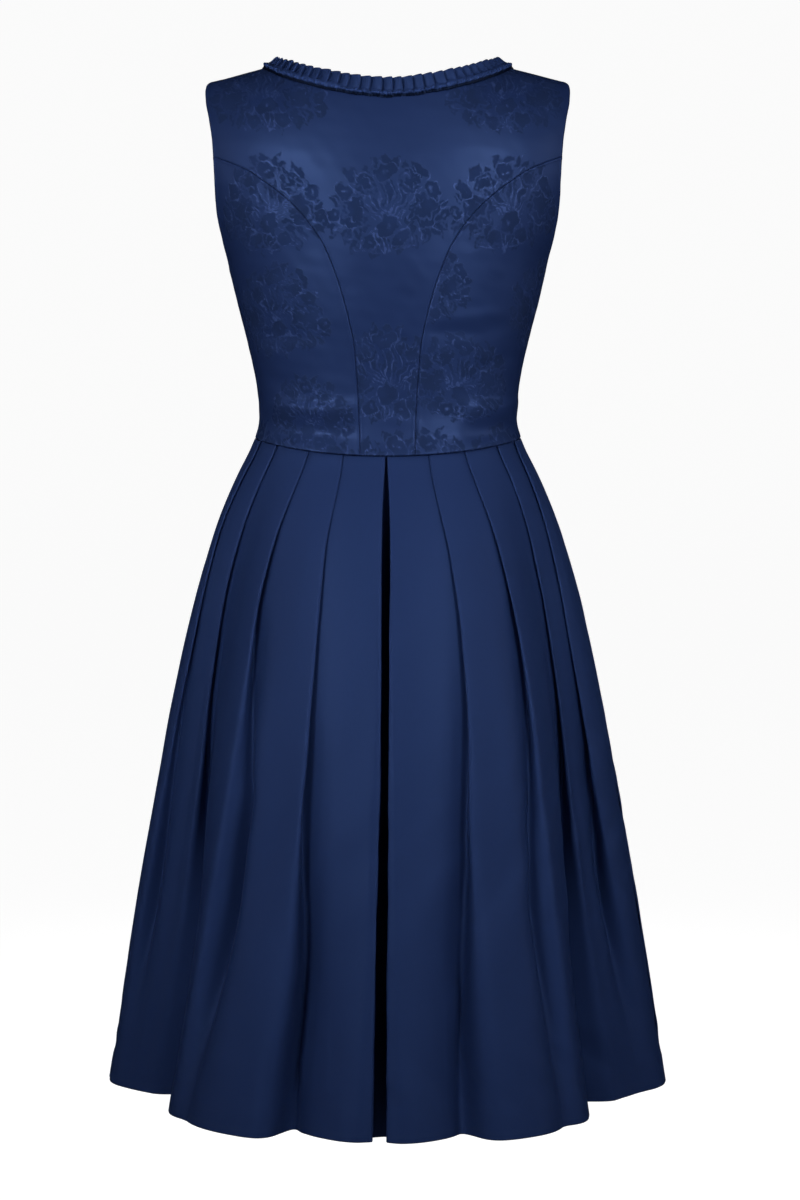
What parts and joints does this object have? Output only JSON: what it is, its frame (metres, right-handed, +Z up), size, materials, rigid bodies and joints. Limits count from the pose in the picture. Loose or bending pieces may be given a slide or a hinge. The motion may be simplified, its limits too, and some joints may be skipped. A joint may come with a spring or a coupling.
{
  "type": "dirndl dress",
  "caption": "Sleeveless dirndl dress with a fitted, panelled bodice, a ruched ribbon along the scooped neck and a calf-length pleated skirt, hollow as worn.",
  "frame": {"origin": "midpoint of the two shoulder lines at neck height, where the wearer's shoulders carry the dress", "axes": "+Z up, -Y towards the back of the dress, +Y towards its front, +X towards the wearer's right"},
  "size_m": [0.5674, 0.4854, 1.0284],
  "materials": {
    "bodice_damask": "satin-ground damask, tone on tone",
    "trim_satin": "pleated satin ribbon",
    "skirt_cloth": "smooth cloth with a soft sheen"
  },
  "bodies": {
    "root": {"bodice_back": "bodice_damask", "bodice_side_back_left": "bodice_damask", "bodice_side_back_right": "bodice_damask", "bodice_side_front_left": "bodice_damask", "bodice_side_front_right": "bodice_damask", "bodice_front_left": "bodice_damask", "bodice_front_right": "bodice_damask", "neck_trim": "trim_satin", "skirt_back": "skirt_cloth", "skirt_front": "skirt_cloth"}
  },
  "joints": []
}
